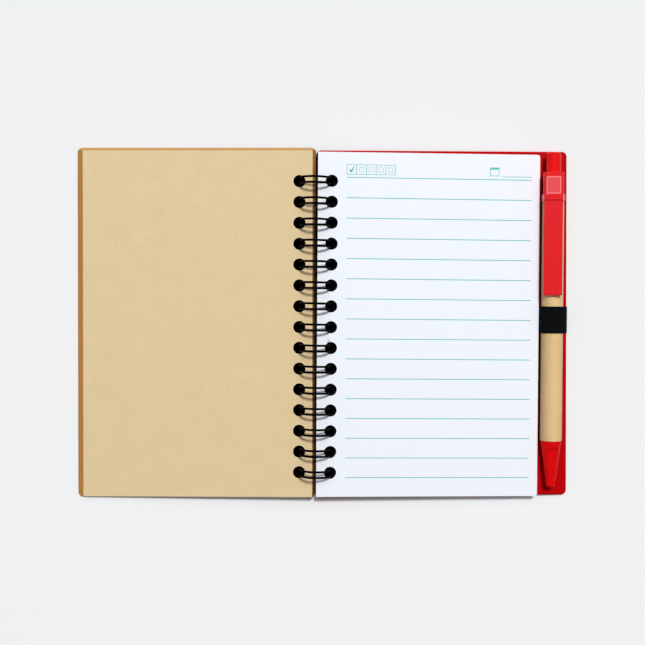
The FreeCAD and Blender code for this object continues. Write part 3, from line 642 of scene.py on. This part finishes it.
for vert in band.verts:
    from_axis = math.hypot(vert.co.x, vert.co.z)
    if vert.co.z < 0 and abs(vert.co.x) < FOOT_HALF and from_axis > PEN_RADIUS + INNER_SKIN:
        vert.co.z = -outer
    round_axis = math.degrees(math.atan2(vert.co.x, vert.co.z))
    if round_axis > LEAVES_PEN_AT:
        rise = min((round_axis - LEAVES_PEN_AT) / RISES_OVER, 1.0)
        fall = min(max((MEETS_COVER_AT - round_axis) / FALLS_OVER, 0.0), 1.0)
        vert.co.x += SLACK * rise * rise * (3 - 2 * rise) * fall
bmesh.ops.recalc_face_normals(band, faces=band.faces)
bmesh.ops.transform(band, matrix=Matrix.Scale(MM, 4) @ pen_line, verts=band.verts)
band_mesh = bpy.data.meshes.new("elastic_band")
band.to_mesh(band_mesh)
band.free()
for face in band_mesh.polygons:
    face.use_smooth = True
elastic_band = add_object("elastic_band", band_mesh)
soft = elastic_band.modifiers.new("soft", "SUBSURF")
soft.levels = 1
soft.render_levels = 1
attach(elastic_band, "back")
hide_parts("pen_loop")
print("elastic band has", len(band_mesh.polygons), "faces before smoothing")

# %% [markdown]
# The yarn of the elastic is far too fine to model, so it is bump and a small change of colour:
# two waves at right angles, one along the band and one across it, in the pen's own frame.

# %% Material: woven elastic
YARN_RATE = 9.0
CROSS_RATE = 16.0
YARN_BUMP = 0.08
woven, tree, shader = new_material("black_elastic", 0.85, 0.02)
point = place(tree, "ShaderNodeSeparateXYZ", (0, flat_point(tree, pen_line)))
round_pen = calc(tree, "MULTIPLY", calc(tree, "ARCTAN2", point.outputs[0], point.outputs[2]), outer)
rib_phase = calc(tree, "FLOOR", calc(tree, "MULTIPLY", point.outputs[1], RIBS / BAND_WIDTH))
yarn = calc(tree, "SINE", calc(tree, "MULTIPLY_ADD", round_pen, YARN_RATE,
                               calc(tree, "MULTIPLY", rib_phase, math.pi)))
cross = calc(tree, "SINE", calc(tree, "MULTIPLY", point.outputs[1], CROSS_RATE))
weave = calc(tree, "MULTIPLY_ADD", calc(tree, "ADD", yarn, cross), 0.25, 0.5)
threads = calc(tree, "POWER", weave, 3.0)
tree.links.new(blend_colours(tree, threads, srgb(2, 2, 3), srgb(34, 37, 41)), shader["Base Color"])
add_bump(tree, shader, weave, YARN_BUMP, 0.8)
band_mesh.materials.append(woven)

# %% [markdown]
# The pen's tube is rolled kraft paper, darker than the endpaper. One soft streak of light along the pen is
# a painted highlight, and its sides are painted darker as shade.

# %% Material: paper tube
HIGHLIGHT_AT = math.radians(20)
PAINTED_LIGHT_SWING = 0.36
PAINTED_LIGHT_LEVEL = 0.68
tube, tree, shader = new_material("kraft_tube", 0.4, 0.12)
point = flat_point(tree, rolled_pen)
fibre = use_group(tree, paper_fibre, ("Point", point), ("Paper", srgb(218, 186, 134)),
                  ("Specks", srgb(160, 122, 74)), ("Speck Share", 0.75), ("Grain", 0.35))
spot = place(tree, "ShaderNodeSeparateXYZ", (0, point))
# Painted highlight and shade: brightest along one line round the tube, darker towards its sides and back.
round_tube = calc(tree, "ARCTAN2", spot.outputs[0], spot.outputs[2])
from_highlight = calc(tree, "COSINE", calc(tree, "SUBTRACT", round_tube, HIGHLIGHT_AT))
painted_light = calc(tree, "MULTIPLY_ADD", from_highlight, PAINTED_LIGHT_SWING, PAINTED_LIGHT_LEVEL)
tube_with_painted_light = place(tree, "ShaderNodeVectorMath", (0, fibre["Colour"]), operation="SCALE")
tree.links.new(painted_light, tube_with_painted_light.inputs["Scale"])
tree.links.new(tube_with_painted_light.outputs[0], shader["Base Color"])
add_bump(tree, shader, fibre["Height"], 0.02, 0.5)
wear(tube, "pen_barrel")

# %% [markdown]
# Nose, head, clip and button are the same red moulding. The finger pad on the head has a fine spark-eroded
# texture, rougher than the rest; the pink sheen it shows is painted into its colour, inside a paler border
# that is a painted highlight.

# %% Material: red plastic
BAR_TOP = 52.4
PAD_TOP = 59.4
PAD_HALF = 2.9
PAD_HEIGHT = 6.3
PAD_BORDER = 0.45
BORDER_HIGHLIGHT_SHARE = 0.45
# The head's red is paler and pinker than the nose's and the button's; that difference is painted sheen.
HEAD_RED = srgb(222, 30, 36)
PAD_MATT = 0.4
SPARK_SCALE = 5.0


def red_plastic(name, lay, colour, shine, gloss):
    material, tree, shader = new_material(name, gloss, shine)
    point = flat_point(tree, lay)
    skin = use_group(tree, moulded_skin, ("Point", point), ("Gloss", gloss), ("Unevenness", 0.08))
    tree.links.new(skin["Roughness"], shader["Roughness"])
    shader["Base Color"].default_value = colour
    add_bump(tree, shader, skin["Height"], 0.05, 0.25)
    return material, tree, shader, point, skin


wear(red_plastic("red_plastic", pen_line, srgb(216, 10, 15), 0.03, 0.35)[0], "pen_nose")
wear(red_plastic("red_plastic_button", pen_line, srgb(224, 14, 19), 0.09, 0.14)[0], "push_button")
head_red, tree, shader, point, skin = red_plastic("red_plastic_head", rolled_pen,
                                                HEAD_RED, 0.12, 0.22)
pad = use_group(tree, printed_box, ("Point", point), ("Middle", (0, (BAR_TOP + PAD_TOP) / 2, 0)),
                ("Half", (PAD_HALF, (PAD_TOP - BAR_TOP) / 2, 1)), ("Line", PAD_BORDER))
height = place(tree, "ShaderNodeSeparateXYZ", (0, point)).outputs[2]
high = calc(tree, "GREATER_THAN", height, PAD_HEIGHT)
on_pad = calc(tree, "MULTIPLY", pad["Filled"], high)
on_border = calc(tree, "MULTIPLY", pad["Outline"], high)
sparks = place(tree, "ShaderNodeTexNoise", ("Vector", point), ("Scale", SPARK_SCALE), ("Detail", 2.0))
# Painted sheen: the pad's red is mixed unevenly towards pink.
pad_sheen = calc(tree, "MULTIPLY", on_pad, calc(tree, "MULTIPLY_ADD", sparks.outputs[0], 0.4, -0.02))
with_pad_sheen = blend_colours(tree, pad_sheen, HEAD_RED, srgb(246, 160, 168))
# Painted highlight: the border of the pad is mixed towards pale pink.
border_highlight = calc(tree, "MULTIPLY", on_border, BORDER_HIGHLIGHT_SHARE)
with_border_highlight = blend_colours(tree, border_highlight, with_pad_sheen, srgb(252, 170, 172))
tree.links.new(with_border_highlight, shader["Base Color"])
tree.links.new(calc(tree, "MULTIPLY_ADD", on_pad, PAD_MATT, skin["Roughness"]), shader["Roughness"])
wear(head_red, "pen_top")

# %% [markdown]
# The pieces inside the pen show only when it is taken apart, or at the mouth of the nose, but
# they get their real finishes too: white moulded cam, clear tube with blue ink, turned brass
# tip, polished ball and drawn spring wire.

# %% Materials: inside the pen


def inner_material(name, colour, roughness, metallic=0.0):
    material, tree, shader = new_material(name, roughness, 0.5, metallic)
    point = flat_point(tree, pen_line)
    skin = use_group(tree, moulded_skin, ("Point", point), ("Gloss", roughness), ("Unevenness", 0.1))
    tree.links.new(skin["Roughness"], shader["Roughness"])
    shader["Base Color"].default_value = colour
    return material


wear(inner_material("white_plastic", srgb(232, 231, 226), 0.4), "cam_rotor")
wear(inner_material("clear_plastic", srgb(92, 108, 190), 0.2), "refill_tube")
wear(inner_material("brass_tip", srgb(205, 172, 98), 0.25, 1.0), "refill_tip")
wear(inner_material("steel_ball", srgb(205, 205, 208), 0.08, 1.0), "writing_ball")
spring_steel = inner_material("spring_steel", srgb(176, 177, 180), 0.28, 1.0)

# %% [markdown]
# The return spring gets shorter when the button is pressed. A CAD solid stays rigid, so a copy of it, with
# its loose triangles merged and a mesh of its own, takes its place.

# %% Return spring as its own mesh
SAME_CORNER = 1e-7
coils = bmesh.new()
coils.from_mesh(nodes["return_spring"].data)
bmesh.ops.remove_doubles(coils, verts=coils.verts, dist=SAME_CORNER)
coils_mesh = bpy.data.meshes.new("click_spring")
coils.to_mesh(coils_mesh)
coils.free()
coils_mesh.materials.clear()
coils_mesh.materials.append(spring_steel)
for face in coils_mesh.polygons:
    face.use_smooth = True
    face.material_index = 0
click_spring = add_object("click_spring", coils_mesh)
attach(click_spring, "back")
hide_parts("return_spring")
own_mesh(click_spring)

# %% [markdown]
# The notebook lies on a plain pale ground. A small lamp stands far off beyond the top of the pages and a
# little to the right, so each wire loop throws a clear curved shadow to its lower left, and the gap between
# the pages and the pen stays dark. A wide lamp beside it lets the shadow below the covers fade out softly,
# and an even sky fills the rest. The ground is a shade darker towards the lamps, which makes it look evenly
# lit, and painted shade turns it black where it is closed in on all sides: under the punched holes and in
# the slit at the spine. Far away, where the lamps don't reach, ground and sky are pale only to rays from
# the camera and to rays off gloss and glass. So a low view has a plain pale backdrop, the metal tip of the
# pen mirrors it, and the light on the notebook stays the same.

# %% Floor, lamp and sky
FLOOR = srgb(237, 240, 243)
FLOOR_ACROSS = -0.00005
FLOOR_UP = -0.0004
FLOOR_SWING = 0.08
FLOOR_HALF = 4.0
FLOOR_DROP = 0.00002
CLOSED_IN = 0.02
BLACK_BELOW = 0.34
OPEN_ABOVE = 0.56
LAMP_COLOUR = (1.0, 0.985, 0.96)
LAMPS = {"key_lamp": (Vector((0.2, 0.82, 2.0)), 0.27, 34.4),
         "wide_lamp": (Vector((0.1, 1.1, 1.8)), 1.6, 8.5)}
SKY_COLOUR = (0.97, 0.975, 1.0, 1.0)
SKY = 0.224
BACKDROP = 0.88
NEAR_GROUND = 350.0
FAR_GROUND = 1100.0

floor_build = bmesh.new()
bmesh.ops.create_grid(floor_build, x_segments=1, y_segments=1, size=FLOOR_HALF)
bmesh.ops.translate(floor_build, vec=(0, 0, -FLOOR_DROP), verts=floor_build.verts)
floor_mesh = bpy.data.meshes.new("floor")
floor_build.to_mesh(floor_mesh)
floor_build.free()
floor = add_object("floor", floor_mesh)
ground, tree, shader = new_material("floor", 0.9, 0.0)
point = flat_point(tree, Matrix())
spot = place(tree, "ShaderNodeSeparateXYZ", (0, point))
slope = calc(tree, "MULTIPLY_ADD", spot.outputs[0], FLOOR_ACROSS,
             calc(tree, "MULTIPLY", spot.outputs[1], FLOOR_UP))
held = calc(tree, "MAXIMUM", calc(tree, "MINIMUM", slope, FLOOR_SWING), -FLOOR_SWING)
# Painted shade: the ground turns black where ambient occlusion finds it closed in.
open_air = place(tree, "ShaderNodeAmbientOcclusion", ("Distance", CLOSED_IN), samples=16)
ao_painted_shade = place(tree, "ShaderNodeMapRange", ("Value", open_air.outputs["AO"]), ("From Min", BLACK_BELOW),
                 ("From Max", OPEN_ABOVE))
level = calc(tree, "MULTIPLY", calc(tree, "ADD", held, 1.0), ao_painted_shade.outputs[0])
from_middle = place(tree, "ShaderNodeVectorMath", (0, point), operation="LENGTH")
far = place(tree, "ShaderNodeMapRange", ("Value", from_middle.outputs["Value"]),
            ("From Min", NEAR_GROUND), ("From Max", FAR_GROUND))
seen_far = calc(tree, "MULTIPLY", far.outputs[0], background_rays(tree))
lit = calc(tree, "MULTIPLY", level, calc(tree, "SUBTRACT", 1.0, seen_far))
for share, socket in ((lit, "Base Color"), (seen_far, "Emission Color")):
    evened = place(tree, "ShaderNodeVectorMath", (0, FLOOR[:3]), operation="SCALE")
    tree.links.new(share, evened.inputs["Scale"])
    tree.links.new(evened.outputs[0], shader[socket])
shader["Emission Strength"].default_value = 1.0
floor_mesh.materials.append(ground)

for name, (spot, size, power) in LAMPS.items():
    lamp_data = bpy.data.lights.new(name, "AREA")
    lamp_data.shape = "SQUARE"
    lamp_data.size = size
    lamp_data.energy = power
    lamp_data.color = LAMP_COLOUR
    lamp = add_object(name, lamp_data)
    lamp.location = spot
    lamp.rotation_mode = "QUATERNION"
    lamp.rotation_quaternion = (-spot).to_track_quat("-Z", "Y")

sky = bpy.data.worlds.new("sky")
sky.use_nodes = True
bpy.context.scene.world = sky
backdrop = sky.node_tree.nodes["Background"]
backdrop.inputs["Color"].default_value = SKY_COLOUR
strength = calc(sky.node_tree, "MULTIPLY_ADD", background_rays(sky.node_tree), BACKDROP - SKY, SKY)
sky.node_tree.links.new(strength, backdrop.inputs["Strength"])
bpy.context.scene.view_settings.view_transform = "Standard"
